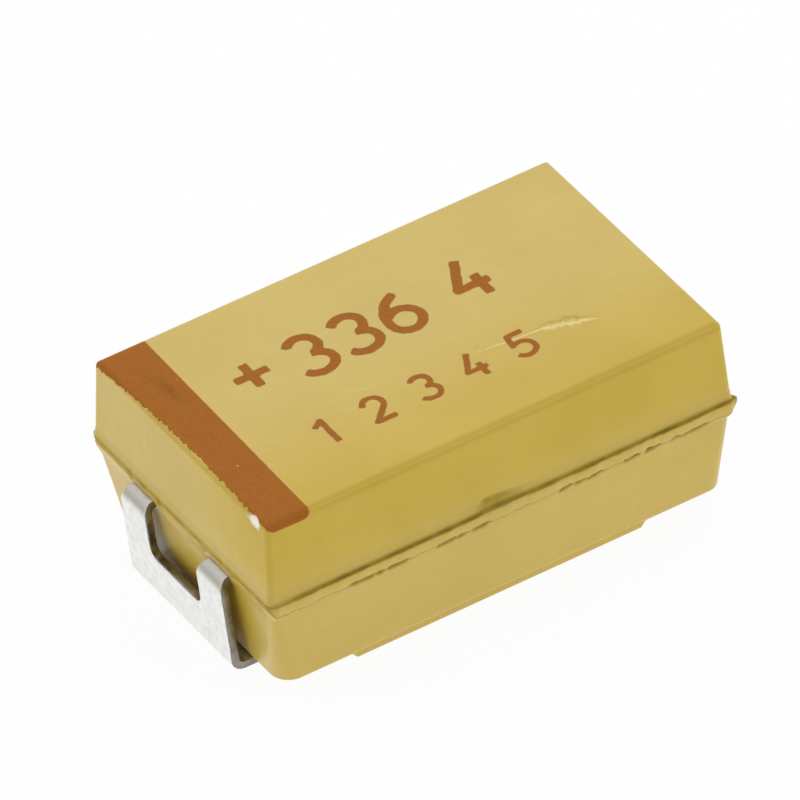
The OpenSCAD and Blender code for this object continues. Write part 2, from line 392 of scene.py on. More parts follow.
def strip_mesh(name, corners, outline, window, mirrored, seed):
    """A strip cut to a flat outline with a window, given its thickness and folded along the corners."""
    line, normals, length = fold_line(corners)
    loops = [outline, window]
    sets = [outline, window]
    for d in edge_rings:
        sets += [outline - d * outline_normals(outline), window - d * outline_normals(window)]
    rows = []
    at = 0.03
    while at < length[-1]:
        way = [np.interp(at + k, length, normals[:, 0]) for k in (-0.01, 0.05)]
        at += bend_step if abs(way[1] - way[0]) > 0.02 else row_step
        rows.append(at)
    across = np.linspace(-half_lead, half_lead, rows_across)
    inner = np.array([(s, y) for s in rows for y in across])
    near = distance_to(inner, loops)
    sets.append(inner[inside(inner, loops) & (near > edge_rings[-1] + 0.012)])
    edges = []
    base = 0
    for part in sets[:-1]:
        n = len(part)
        edges += [(base + i, base + (i + 1) % n) for i in range(n)]
        base += n
    flat, _, faces, *_ = delaunay_2d_cdt([Vector(p) for p in np.vstack(sets)], edges, [], 0, 1e-6)
    flat = np.array([tuple(p) for p in flat])
    faces = np.array(faces)
    faces = faces[inside(flat[faces].mean(axis=1), loops)]
    n = len(flat)
    d = distance_to(flat, loops)
    # The legs narrow over the bend, where they come out of the case, and from there on they are
    # painted greyer, as a darker reflection.
    past_knee = flat[:, 0] - length[int(np.argmax(line[:, 1] >= lead_z - 1e-6))]
    neck = leg_neck * ramp(past_knee, -0.24, -0.04) * (1 - ramp(past_knee, 0, 0.3))
    is_leg = np.abs(flat[:, 1]) > window_w / 2 - 0.02
    leg_middle = np.sign(flat[:, 1]) * (half_lead + window_w / 2) / 2
    flat[:, 1] += np.where(is_leg, (leg_middle - flat[:, 1]) * neck, 0)
    dim_reflection = ramp(past_knee, -0.22, -0.14)

    def half_thickness(radius):
        into = np.clip(radius - d, 0, radius)
        return lead_t / 2 - radius + np.sqrt(radius ** 2 - into ** 2)

    middle = np.stack([np.interp(flat[:, 0], length, line[:, k]) for k in (0, 1)], 1)
    normal = np.stack([np.interp(flat[:, 0], length, normals[:, k]) for k in (0, 1)], 1)
    normal /= np.linalg.norm(normal, axis=1)[:, None]
    dip = 0.0015 * (1 + ripple(flat[:, 0] * 2 + flat[:, 1], 0.12, seed) / 2)
    dip = np.clip(dip, 0, 0.004)
    sheets = []
    for side, radius in ((-1, front_round), (1, back_round)):
        place = middle + normal * (side * (half_thickness(radius) - dip))[:, None]
        sheets.append(np.stack([place[:, 0], flat[:, 1], place[:, 1]], 1))
    points = np.vstack(sheets)
    front = faces
    back = faces[:, ::-1] + n
    sides = {}
    for a, b, c in front:
        sides.update({(a, b): True, (b, c): True, (c, a): True})
    rim = [(b, a, a + n, b + n) for a, b in sides if (b, a) not in sides]
    all_faces = front.tolist() + back.tolist() + [list(map(int, f)) for f in rim]
    sheared = np.clip(1 - d / edge_rings[1], 0, 1)
    values = {"sheared": np.tile(sheared, 2), "dim_reflection": np.tile(dim_reflection, 2)}
    if mirrored:
        points[:, 0] *= -1
    piece = make_piece(name, points, all_faces, tin, values)
    tidy = bmesh.new()
    tidy.from_mesh(piece.data)
    bmesh.ops.join_triangles(
        tidy, faces=[f for f in tidy.faces if len(f.verts) == 3],
        angle_face_threshold=0.3, angle_shape_threshold=0.5,
    )
    bmesh.ops.recalc_face_normals(tidy, faces=tidy.faces)
    tidy.to_mesh(piece.data)
    tidy.free()
    return piece


def window_outline(corners):
    """The window in the flat strip: from the sill in the folded plate to where the legs join."""
    line, _, length = fold_line(corners)
    i = int(np.argmax(line[:, 1] >= sill_z))
    share = (sill_z - line[i - 1, 1]) / (line[i, 1] - line[i - 1, 1])
    sill_s = length[i - 1] + share * (length[i] - length[i - 1])
    knee = int(np.argmax(line[:, 1] >= lead_z - 1e-6))
    fork_s = length[knee] + line[knee, 0] - fork_x
    w = window_w / 2
    corners = [(sill_s, w), (fork_s, w), (fork_s, -w), (sill_s, -w)]
    return rounded_outline(corners, (sill_r, punch_r, punch_r, sill_r))


tin = tin_plate()
anode_length = fold_line(anode_path)[2][-1]
cathode_length = fold_line(cathode_path)[2][-1]
shoulder_s = anode_length - (fork_x - lead_t - tab_x)
wide = half_lead
slim = weld_tab_w / 2
anode_outline = rounded_outline(
    [(0, -wide), (shoulder_s, -wide), (shoulder_s, -slim), (anode_length, -slim),
     (anode_length, slim), (shoulder_s, slim), (shoulder_s, wide), (0, wide)],
    (punch_r, 0.03, 0.03, 0.03, 0.03, 0.03, 0.03, punch_r),
)
cathode_outline = rounded_outline(
    [(0, -wide), (cathode_length, -wide), (cathode_length, wide), (0, wide)],
    (punch_r, 0.03, 0.03, punch_r),
)
for node, path, outline, mirrored, seed in (
    ("anode_terminal", anode_path, anode_outline, True, 3),
    ("cathode_terminal", cathode_path, cathode_outline, False, 4),
):
    strip = strip_mesh(node + "_strip", path, outline, window_outline(path), mirrored, seed)
    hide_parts(node)


# ---------- silver adhesive ----------
# The coated pellet is bedded on the cathode's shelf in silver-filled adhesive, which cures to a thin pad.

finish_node("silver_adhesive", grained_material(
    "silver adhesive", dark=(0.36, 0.36, 0.34), light=(0.55, 0.55, 0.53),
    metallic=0.6, roughness=0.58, grain_mm=0.02, bump=0.003, crispness=0.5,
))


# ---------- moulded case ----------
# Gold-brown epoxy, transfer moulded round the pellet and the lead frame in two drafted halves.
# A strip of flash runs round the parting line, and a pad for a drop of glue stands under the middle.

case_low, case_high = box_mm("moulded_case")
flash_side = 0.08
flash_end = 0.05
half_l = case_high[0] - flash_end
half_w = case_high[1] - flash_side
skin = 0.004  # the case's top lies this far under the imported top, so that no burr stands above it
top_z = case_high[2] - skin
floor_z = lead_t
pad_z = case_low[2]
lower_h = 1.55
parting_z = floor_z + lower_h
upper_inset = (case_high[2] - parting_z) * math.tan(math.radians(2.7))
lower_inset = lower_h * math.tan(math.radians(6.7))
upright_r = 0.08    # radius of the upright edges
side_round = 0.12   # width and height of the rounding along the top's long edges
end_round = 0.07    # width of the rounding along its short edges
end_drop = 0.08     # height of the rounding along its short edges
foot_r = 0.30       # radius of the foot's upright edges at the anode end
far_foot_r = 0.20   # the same at the cathode end
far_lean = 0.5      # share of the anode end's draft that the cathode end has below the parting line
foot_edge_r = 0.08
pad_root_x = land_end_x - 0.13
pad_slope = math.tan(math.radians(50))
pad_inset = 0.03    # how far the pad's long sides stand in from the foot's edge
corner_steps = 8

top_a = half_l - upper_inset - end_round
top_b = half_w - upper_inset - side_round
foot_a = half_l - lower_inset - foot_r
far_foot_a = half_l - far_lean * lower_inset - 0.17


def spaced(low, high, zones, coarse=0.085):
    """Line places from low to high: a step for each (start, end, step) zone, and a coarse step elsewhere."""
    places = [low]
    while places[-1] < high:
        at = places[-1]
        step = min([z[2] for z in zones if z[0] - 1e-9 <= at < z[1] - 1e-9] or [coarse])
        starts = [z[0] - at for z in zones if z[0] > at + 1e-6]
        places.append(at + min([step, high - at] + starts))
        if high - places[-1] < 1e-6:
            places[-1] = high
    return np.array(places)


# The lines lie closer where there is print, a scar, an edge or the end of the glue pad.
print_x = (-2.28, 1.95)
print_y = (-1.30, 1.15)
print_step = 0.034
gouge_x = (1.95, 2.25)
gouge_y = (-1.12, -0.62)
chip_y = (-1.90, -1.60)
band_x = (-2.75, -2.60)
edge_zone = 0.06
fine_step = 0.02
pad_mark = pad_root_x * top_a / foot_a
far_pad_mark = pad_root_x * top_a / far_foot_a
x_lines = spaced(-top_a, top_a, [
    (*print_x, print_step), (*gouge_x, 0.04), (*band_x, 0.03),
    (-pad_mark - 0.03, -pad_mark + 0.14, fine_step), (far_pad_mark - 0.14, far_pad_mark + 0.04, fine_step),
    (-top_a, -top_a + edge_zone, fine_step), (top_a - edge_zone, top_a, fine_step),
])
y_lines = spaced(-top_b, top_b, [(*print_y, print_step), (*gouge_y, 0.012), (*chip_y, fine_step)])
nx = len(x_lines)
ny = len(y_lines)


def ring_plan():
    """Round a rounded rectangle, anticlockwise from the -X end of the -Y side: each point's place on the
    inner rectangle as shares of its half sizes, its outward direction, and its x line and y line."""
    fx = x_lines / top_a
    fy = y_lines / top_b
    sides = (
        ([(f, -1, i, 0) for i, f in enumerate(fx)], (0, -1), -90),
        ([(1, f, nx - 1, j) for j, f in enumerate(fy)], (1, 0), 0),
        ([(f, 1, i, ny - 1) for i, f in reversed(list(enumerate(fx)))], (0, 1), 90),
        ([(-1, f, 0, j) for j, f in reversed(list(enumerate(fy)))], (-1, 0), 180),
    )
    plan = []
    for line, out, angle in sides:
        plan += [(*point, *out) for point in line]
        for k in range(1, corner_steps):
            a = math.radians(angle + 90 * k / corner_steps)
            plan.append((*plan[-1][:4], math.cos(a), math.sin(a)))
    plan = np.array(plan, float)
    return plan[:, 0:2], plan[:, 4:6], (plan[:, 2] * ny + plan[:, 3]).astype(int)


share, way, border = ring_plan()
n_ring = len(way)
side_on = np.abs(way[:, 1]) ** 4
end_on = 1 - side_on
on_front = way[:, 1] < -0.7
along = np.where(np.abs(way[:, 1]) > 0.7, share[:, 0] * half_l, share[:, 1] * half_w)
walk = np.linalg.norm(np.diff(share * (half_l, half_w), axis=0), axis=1)
round_way = np.concatenate([[0], np.cumsum(walk)])


def bell(at, middle, width):
    """1 at the middle, falling to nearly nothing two widths away."""
    return np.exp(-(((at - middle) / width) ** 2))


# The flash is broad and pale along the sides, low and painted a darker olive along the ends, drawn out to a
# tip at one corner, and climbs the front wall at one place. Where it is torn, the gap under it is painted
# dark as shade.
tip = bell(np.degrees(np.arctan2(way[:, 1], way[:, 0])), -28, 24)
raggedness = 0.88 + 0.08 * ripple(round_way, 0.5, 11) + 0.05 * ripple(round_way, 0.11, 12)
reach = (flash_side * side_on + 0.024 * end_on) * np.clip(raggedness, 0.6, 1)
reach = np.minimum(reach + 0.062 * tip, flash_side + 0.02 * tip)
beside_legs = end_on * (bell(np.abs(along), 0.57, 0.05) + bell(np.abs(along), 1.24, 0.05))
depth = 0.150 * side_on + 0.070 * end_on + 0.05 * beside_legs
# Where the flash along the front wall is torn, from and to.
front_tears = [(-2.38, -2.00), (-1.96, -1.86), (-1.80, -1.48), (-1.04, -0.77), (-0.72, -0.60),
               (-0.50, -0.24), (0.85, 1.01), (1.08, 1.24), (1.27, 1.48), (1.82, 2.05), (2.17, 2.37),
               (2.56, 2.67), (2.74, 3.10)]
front_torn = sum(
    ramp(along, start - 0.02, start + 0.03) * (1 - ramp(along, end - 0.03, end + 0.02))
    for start, end in front_tears
)
front_torn = front_torn * (0.8 + 0.3 * ripple(along, 0.06, 14))
other_torn = np.clip(ripple(round_way, 0.22, 13) - 0.2, 0, 1) ** 0.5
torn = np.clip(np.where(on_front, 1.5 * front_torn, other_torn * side_on), 0, 1)
hump_x = -0.24
hump = bell(along, hump_x, np.where(along < hump_x, 0.14, 0.55)) * on_front
lift = 0.10 * hump
# How much painted shade the corner above the flash has along the sides, and how much darker olive the flash
# is painted along the ends.
line = side_on * np.clip(0.58 + 0.08 * ripple(round_way, 0.3, 21), 0, 1)
line = line * np.where(on_front, 0.45 + 0.55 * ramp(along, -3.35, -2.9), 1)
olive = end_on * np.clip(0.38 + 0.08 * ripple(round_way, 0.15, 22), 0.1, 0.6)


def corner_radius(shares, radius):
    """An upright edge's radius at these places. Below the parting line it grows less at the cathode end."""
    growth = max(radius - upright_r, 0) / (foot_r - upright_r)
    return radius - growth * (foot_r - far_foot_r) * (shares[:, 0] + 1) / 2


def inner_half(shares, inset, radius, lean=1.0):
    """Half sizes, at these places, of the rectangle between the corners' centres."""
    leans = np.column_stack([np.where(shares[:, 0] > 0, lean, 1), np.ones(len(shares))])
    return (half_l, half_w) - inset * leans - corner_radius(shares, radius)[:, None]


beyond = 9.0  # a distance that no print reaches
rings = []
widths = np.stack([np.full(n_ring, end_round), np.full(n_ring, side_round)], 1)
drop = side_round * side_on + end_drop * end_on
round_length = math.pi / 4 * (drop + side_round * side_on + end_round * end_on)


def add_ring(inset, radius, height, out=0.0, run=beyond, painted_shade=0.0, lean=1.0):
    """One level of the case's skin: its inset from the parting line's outline, the radius of its corners,
    its height, how far it stands out, its distance from the flat top, how much painted shade it has, and
    the share of the inset that the cathode end has."""
    centres = share * inner_half(share, inset, radius, lean)
    flat = centres + way * (corner_radius(share, radius) + out)[:, None]
    place = np.column_stack([flat, np.broadcast_to(height, n_ring)])
    unrolled = share * (top_a, top_b) + way * np.broadcast_to(run, n_ring)[:, None]
    rings.append((place, unrolled, np.broadcast_to(painted_shade, n_ring)))


# From the flat top down: the rounded edge, then the upper wall, whose last levels make room for the hump.
for k in range(1, 9):
    a = math.pi / 2 * k / 8
    add_ring(
        upper_inset + widths * (1 - math.sin(a)), upright_r * math.sin(a),
        top_z - drop * (1 - math.cos(a)), run=round_length * k / 8,
    )
for t in (0.985, 0.96, 0.92, 0.84, 0.74, 0.63, 0.52, 0.41, 0.31, 0.22, 0.16, 0.12):
    wall = top_z - drop - parting_z
    height = parting_z + wall * t + 0.95 * lift * max(0, (0.26 - t) / 0.14)
    add_ring(upper_inset * t, upright_r, height, run=round_length + wall * (1 - t))

# The hollow corner above the flash: how far out and up each level is, how much painted shade it has
# along the line, and how much darker it is painted on the hump.
for out, up, painted_dark, hump_dark in (
    (0.000, 0.100, 0.00, 0.40), (0.001, 0.070, 0.00, 0.46), (0.003, 0.045, 0.10, 0.30),
    (0.008, 0.026, 0.50, 0.20), (0.018, 0.012, 1.00, 0.10),
):
    add_ring(
        0, upright_r, parting_z + up + lift * (0.35 + 6 * up), out + 0.22 * lift * (1 - up / 0.1),
        painted_shade=painted_dark * line + hump_dark * hump + up * 3 * olive,
    )
add_ring(
    0, upright_r, parting_z + 0.004 + 0.20 * lift, 0.034 * side_on + 0.018 * end_on + 0.15 * lift,
    painted_shade=line + 1.3 * olive,
)

# The flash's upper face and its rim.
wave = 0.004 * ripple(round_way, 0.16, 15)
dent = 0.004 * np.clip(ripple(round_way, 0.3, 16), -1, 1)
low_edge = parting_z - depth + 0.006 * ripple(round_way, 0.14, 17) + 0.012 * torn
# Painted shade along the crease above the flash and in the gap under its torn parts, and a darker olive
# along the ends.
for height, out, painted_dark in (
    (parting_z + 0.001 + 0.08 * lift, reach * 0.72, 0.70 * line + 1.2 * olive),
    (parting_z - 0.002, reach - 0.012, 0.12 * line + olive),
    (parting_z - 0.008, reach - 0.004, olive),
    (parting_z - 0.020, reach - 0.001, olive),
    (parting_z - 0.45 * depth + wave, reach - 0.005 + dent, olive),
    (low_edge + 0.022, reach - 0.005, olive),
    (low_edge + 0.010, reach - 0.008, 0.7 * torn + 0.14 * side_on + olive),
    (low_edge, reach - 0.018, torn + 0.25 * side_on + 0.8 * olive),
):
    add_ring(0, upright_r, height, out, painted_shade=painted_dark)

# Its underside slopes back to the wall where it is whole, and steps back where it is torn.
filled = 1 - torn
# Where the flash is torn, its underside is painted dark as shade in the gap.
for whole_drop, torn_drop, whole_share, torn_share, step_in, painted_dark in (
    (0.028, -0.014, 0.74, 0.24, 0.000, torn + 0.2 * side_on),
    (0.060, 0.004, 0.42, -0.08, 0.000, torn),
    (0.092, 0.030, 0.13, 0.13, 0.030, torn),
):
    height = low_edge - whole_drop * filled - torn_drop * torn
    out = reach * (whole_share * filled + torn_share * torn) - step_in * torn
    add_ring(0, upright_r, height, out, painted_shade=painted_dark)


def lower_wall(t, painted_shade=0.0):
    """The lower half's wall, from t = 0 at the parting line to t = 1 where the foot's rounding starts."""
    add_ring(
        lower_inset * t, upright_r + (foot_r - upright_r) * t, parting_z - (lower_h - foot_edge_r) * t,
        painted_shade=painted_shade, lean=far_lean,
    )


# The wall just under the torn flash is painted dark as shade.
lower_wall(0.19, 0.30 * torn)
for t in (0.205, 0.23, 0.30, 0.38, 0.47, 0.57, 0.67, 0.77, 0.86, 0.92, 0.96, 0.985, 1.0):
    lower_wall(t)

# The foot's rounded edge, and two levels that narrow to the flat sole.
first_foot = len(rings)
for k in range(1, 7):
    a = math.pi / 2 * k / 6
    shrink = foot_edge_r * (1 - math.cos(a))
    height = floor_z + foot_edge_r * (1 - math.sin(a))
    add_ring(lower_inset, foot_r, height, -shrink, lean=far_lean)
first_sole = len(rings)
for shrink in (0.10, 0.12):
    add_ring(lower_inset, foot_r, floor_z, -shrink, lean=far_lean)

grid_x, grid_y = np.meshgrid(x_lines, y_lines, indexing="ij")
top_grid = np.column_stack([grid_x.ravel(), grid_y.ravel(), np.full(nx * ny, top_z)])
sole_share = top_grid[:, :2] / (top_a, top_b)
sole_half = inner_half(sole_share, lower_inset, foot_r, far_lean)
sole_grid = np.column_stack([sole_share * sole_half, np.full(nx * ny, floor_z)])
points = np.vstack([top_grid] + [ring[0] for ring in rings] + [sole_grid])
u, v = np.vstack([top_grid[:, :2]] + [ring[1] for ring in rings] + [sole_grid[:, :2] + beyond]).T
shade_and_smudge = np.concatenate([np.zeros(nx * ny)] + [ring[2] for ring in rings] + [np.zeros(nx * ny)])
ring_start = nx * ny + n_ring * np.arange(len(rings) + 1)
levels = [border] + [start + np.arange(n_ring) for start in ring_start[:-1]] + [border + ring_start[-1]]
faces = []
for upper, lower in zip(levels, levels[1:]):
    for corners in zip(upper, lower, np.roll(lower, -1), np.roll(upper, -1)):
        faces.append([int(c) for c in dict.fromkeys(corners)])
for i in range(nx - 1):
    for j in range(ny - 1):
        a = i * ny + j
        faces.append([a, a + ny, a + ny + 1, a + 1])
        a += int(ring_start[-1])
        faces.append([a, a + 1, a + ny + 1, a + ny])

# The glue pad: the floor and its long edges are drawn down over the pad's length.
pad_share = ramp(pad_root_x - np.abs(points[:, 0]), -0.004, (floor_z - pad_z) * pad_slope + 0.004)
sole = np.arange(len(points)) >= ring_start[first_sole]
points[sole, 2] -= ((floor_z - pad_z) * pad_share)[sole]
pad_edge = [  # inset from the wall's foot, and height, for each level of the foot's rounding
    (0.008, 0.166), (pad_inset, 0.138), (pad_inset, 0.090), (pad_inset, 0.060),
    (0.036, 0.046), (0.050, 0.040),
]
straight = np.abs(way[:, 1]) == 1
for start, (inward, z) in zip(ring_start[first_foot:first_sole], pad_edge):
    at = start + np.flatnonzero(straight)
    t = pad_share[at]
    points[at, 1] = points[at, 1] * (1 - t) + way[straight, 1] * (half_w - lower_inset - inward) * t
    points[at, 2] = points[at, 2] * (1 - t) + z * t

# The gouge across the top: a shallow tear that widens to its right end, with a low burr along it, and a
# faint scratch to its left.
on_top = np.arange(len(points)) < nx * ny
at_x = points[:, 0]
gouge_line = [(0.62, -0.700), (0.90, -0.735), (1.10, -0.760), (1.32, -0.770), (1.50, -0.790),
              (1.70, -0.835), (1.90, -0.900), (2.05, -0.960), (2.18, -1.030)]
gouge_widths = [(0.60, 0), (0.75, 0.014), (1.40, 0.022), (1.60, 0.070), (1.90, 0.105), (2.20, 0)]
middle = np.interp(at_x, *zip(*gouge_line))
half = np.interp(at_x, *zip(*gouge_widths))
half = half * np.clip(1 + 0.25 * ripple(at_x, 0.09, 31), 0.4, 1.6) * on_top
in_gouge = half > 1e-4
across = np.where(in_gouge, (points[:, 1] - middle) / np.maximum(half, 1e-4), beyond)
trough = np.where(across > 0.45, np.clip((1 - across) / 0.55, 0, 1), np.clip((1 + across) / 1.45, 0, 1))
points[:, 2] -= 0.32 * half * trough
points[:, 2] += 0.0032 * (bell(across, 1.25, 0.3) + bell(across, -1.3, 0.35)) * in_gouge
scratch = bell((points[:, 1] + 0.325) * 0.92 + (at_x + 1.31) * 0.37, 0, 0.02)
scratch = scratch * ramp(at_x, -1.35, -1.2) * (1 - ramp(at_x, -0.95, -0.75)) * on_top
scrape = trough * in_gouge + 0.3 * scratch

# The chip at the band's front corner.
chip_middle = (-3.395, -1.75, 2.815)
chip_half = (0.090, 0.120, 0.076)
from_chip = (points - chip_middle) / chip_half
chip = ramp(1.15 - np.linalg.norm(from_chip, axis=1), 0, 0.35)
points[:, 0] += 0.018 * chip
points[:, 2] -= 0.008 * chip

# The polarity band is printed over the anode end's top edge and a little way down the long walls. Its
# value is the distance from its outline, less than nothing inside it. A dark smudge crosses its far end.
outer = -(top_a + 0.022 + 0.022 * (v + 0.3) ** 2)
inner = -2.720 + 0.016 * v
beside = top_b + 0.185 + 0.012 * ripple(u, 0.4, 41)
band_r = 0.13
qx = np.maximum(outer - u, u - inner) + band_r
qy = np.abs(v) - beside + band_r
band = np.hypot(np.maximum(qx, 0), np.maximum(qy, 0)) + np.minimum(np.maximum(qx, qy), 0) - band_r
smudge = bell((at_x + 2.95) + 0.14 * (points[:, 1] - 1.0), 0, 0.06) * bell(points[:, 1], 1.0, 0.30) * on_top


# The marks are a plus by the band and two rows of plain figures, each drawn with a few square-ended
# strokes. Their value is the distance from the nearest stroke's outline.

def bow(x, y, rx, ry, start, end):
    """Points along part of an ellipse, from one angle to another in degrees."""
    return [(x + rx * math.cos(a), y + ry * math.sin(a)) for a in np.radians(np.linspace(start, end, 15))]


FIGURES = {  # each fills a box 0.62 wide and 1 high, from its lower left corner
    "+": [[(0.0, 0.5), (0.62, 0.5)], [(0.31, 0.19), (0.31, 0.81)]],
    "1": [[(0.06, 0.76), (0.33, 0.97), (0.33, 0.0)]],
    "2": [bow(0.31, 0.70, 0.28, 0.28, 170, -38) + [(0.05, 0.05), (0.62, 0.05)]],
    "3": [bow(0.30, 0.74, 0.26, 0.24, 155, -75), bow(0.30, 0.28, 0.30, 0.25, 85, -155)],
    "4": [[(0.38, 1.0), (0.04, 0.32), (0.62, 0.32)], [(0.45, 0.54), (0.45, 0.0)]],
    "5": [[(0.58, 0.95), (0.13, 0.95), (0.08, 0.54)] + bow(0.28, 0.32, 0.31, 0.29, 128, -150)],
    "6": [bow(0.72, 0.34, 0.69, 0.64, 112, 172) + bow(0.31, 0.30, 0.28, 0.28, 185, 505)],
}


def pen(spots, path, width):
    """Distance from each spot to a square-ended stroke's outline, less than nothing inside it."""
    path = np.array(path, float)
    near = np.full(len(spots), np.inf)
    for a, b in zip(path, path[1:]):
        size = np.linalg.norm(b - a)
        reached = (spots - a) @ (b - a) / size
        nearest = a + np.clip(reached / size, 0, 1)[:, None] * (b - a)
        bar = np.linalg.norm(spots - nearest, axis=1) - width / 2
        if (a == path[0]).all():
            bar = np.maximum(bar, -reached)
        if (b == path[-1]).all():
            bar = np.maximum(bar, reached - size)
        near = np.minimum(near, bar)
    return near


big = 0.80    # height of the first row's marks
small = 0.50  # and of the second row's
big_stroke = 0.13
small_stroke = 0.078
written = [("+", -2.20, 0.20, big), ("3", -1.38, 0.10, big), ("3", -0.70, 0.12, big),
           ("6", -0.03, 0.15, big), ("4", 1.02, 0.20, big)]
written += [(mark, -1.90 + 0.72 * k, -1.14, small) for k, mark in enumerate("12345")]
marking = np.full(len(points), 1.0)
for mark, x, y, height in written:
    local = (points[on_top][:, :2] - (x, y)) / height
    stroke_w = (big_stroke if height == big else small_stroke) / height
    for path in FIGURES[mark]:
        marking[on_top] = np.minimum(marking[on_top], pen(local, path, stroke_w) * height)


def case_material():
    """Moulded epoxy: a glossy resin skin over filler, with brown print that has no gloss."""
    material = bpy.data.materials.new("gold-brown epoxy")
    material.use_nodes = True
    tree = material.node_tree
    surface = tree.nodes["Principled BSDF"]

    def value(name):
        return add_node(tree, "ShaderNodeAttribute", attribute_name=name).outputs["Fac"]

    def sum_of(operation, a, b=0.0, c=0.0):
        return add_node(tree, "ShaderNodeMath", {0: a, 1: b, 2: c}, operation=operation).outputs[0]

    def mapped(source, low, high, to_low=0.0, to_high=1.0):
        return add_node(
            tree, "ShaderNodeMapRange",
            {"Value": source, "From Min": low, "From Max": high, "To Min": to_low, "To Max": to_high},
            interpolation_type="SMOOTHSTEP",
        ).outputs["Result"]

    def mixed(factor, a, b):
        made = add_node(tree, "ShaderNodeMix", {"Factor": factor, "A": a, "B": b}, data_type="RGBA")
        return made.outputs["Result"]

    filler = add_node(tree, "ShaderNodeGroup", {"Size mm": 0.030, "Crispness": 0.3}, node_tree=grain).outputs
    cloud = add_node(tree, "ShaderNodeGroup", {"Size mm": 0.35, "Crispness": 0.0}, node_tree=grain).outputs
    tooth = add_node(tree, "ShaderNodeGroup", {"Size mm": 0.055, "Crispness": 0.6}, node_tree=grain).outputs
    place = add_node(tree, "ShaderNodeTexCoord").outputs["Object"]
    x, y, z = add_node(tree, "ShaderNodeSeparateXYZ", {0: place}).outputs

    resin = mixed(mapped(cloud["Mottle"], 0.3, 0.7), (0.545, 0.376, 0.036, 1), (0.575, 0.404, 0.047, 1))
    resin = mixed(mapped(filler["Mottle"], 0.35, 0.65, 0.0, 0.06), resin, (0.66, 0.50, 0.14, 1))
    resin = mixed(mapped(value("scrape"), 0.05, 0.6), resin, (0.74, 0.58, 0.20, 1))

    ragged = mapped(x, -3.27 * MM, -3.33 * MM, 0.010, 0.085)
    wobble = sum_of("SUBTRACT", tooth["Height"], 0.42)
    band_ink = mapped(sum_of("MULTIPLY_ADD", wobble, ragged, value("band")), 0.005, -0.005)
    wobble = sum_of("SUBTRACT", filler["Mottle"], 0.5)
    mark_edge = sum_of("MULTIPLY_ADD", wobble, 0.030, value("marking"))
    mark_ink = mapped(mark_edge, 0.006, -0.006)
    ink = sum_of("MAXIMUM", band_ink, mark_ink)
    brown = mixed(mapped(filler["Height"], 0.25, 0.75), (0.338, 0.108, 0.010, 1), (0.392, 0.135, 0.014, 1))
    cells = add_node(tree, "ShaderNodeTexVoronoi", {"Vector": place, "Scale": 3 / MM}).outputs
    pick = add_node(tree, "ShaderNodeSeparateColor", {0: cells["Color"]}).outputs["Red"]
    speck = sum_of("MULTIPLY", mapped(cells["Distance"], 0.085, 0.045), mapped(pick, 0.66, 0.70))
    brown = mixed(sum_of("MULTIPLY", speck, 0.8), brown, (0.70, 0.42, 0.18, 1))
    colour = mixed(ink, resin, brown)
    rim = sum_of("MULTIPLY", mapped(mark_edge, -0.020, 0.0), mapped(mark_edge, 0.012, 0.002))
    colour = mixed(sum_of("MULTIPLY", rim, 0.45), colour, (0.24, 0.11, 0.02, 1))
    # Painted shade along the flash's crease and under its torn parts, the ends' darker olive, and the band's
    # smudge darken the colour here.
    broken = mapped(filler["Mottle"], 0.35, 0.6, 0.7, 1.0)
    painted_shade = sum_of("MULTIPLY", value("shade_and_smudge"), broken)
    colour = mixed(painted_shade, colour, (0.055, 0.036, 0.006, 1))
    colour = mixed(value("chip"), colour, (0.88, 0.84, 0.72, 1))

    waves = add_node(
        tree, "ShaderNodeBump", {"Height": cloud["Height"], "Distance": 0.012 * MM, "Strength": 1.0},
    ).outputs["Normal"]
    relief = add_node(
        tree, "ShaderNodeBump",
        {"Height": filler["Height"], "Distance": 0.0012 * MM, "Strength": 1.0, "Normal": waves},
    ).outputs["Normal"]
    gloss = sum_of("MULTIPLY", sum_of("SUBTRACT", 1.0, ink), mapped(value("shade_and_smudge"), 0.05, 0.5, 1.0, 0.05))
    # The gloss is rubbed off towards the upper half's front edge.
    rubbed = sum_of("MULTIPLY", mapped(y, 0.4 * MM, -2.0 * MM, 0.0, 0.6), mapped(z, 1.7 * MM, 2.2 * MM))
    gloss = sum_of("MULTIPLY", gloss, sum_of("SUBTRACT", 1.0, rubbed))
    surface.inputs["Specular IOR Level"].default_value = 0.12
    surface.inputs["Roughness"].default_value = 0.65
    surface.inputs["Coat Roughness"].default_value = 0.30
    surface.inputs["Coat IOR"].default_value = 1.5
    tree.links.new(gloss, surface.inputs["Coat Weight"])
    tree.links.new(colour, surface.inputs["Base Color"])
    tree.links.new(relief, surface.inputs["Normal"])
    tree.links.new(relief, surface.inputs["Coat Normal"])
    return material


case = make_piece("moulded_case_body", points, faces, case_material(), {
    "band": band, "marking": marking, "scrape": scrape, "chip": chip,
    # One value holds the flash's painted shade and the band's smudge.
    "shade_and_smudge": np.clip(shade_and_smudge + 0.35 * smudge, 0, 1),
})
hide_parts("moulded_case")


# ---------- floor, light and camera ----------
# The part stands on a white sheet under soft light, with the dark of the room behind the camera.

def sheet(name, size, place, facing, material):
    """A flat square, facing along the given direction."""
    mesh = bpy.data.meshes.new(name)
    h = size / 2
    mesh.from_pydata([(-h, -h, 0), (h, -h, 0), (h, h, 0), (-h, h, 0)], [], [(0, 1, 2, 3)])
    mesh.materials.append(material)
    made = bpy.data.objects.new(name, mesh)
    made.location = place
    made.rotation_euler = Vector(facing).to_track_quat("Z", "Y").to_euler()
    scene.collection.objects.link(made)
    return made


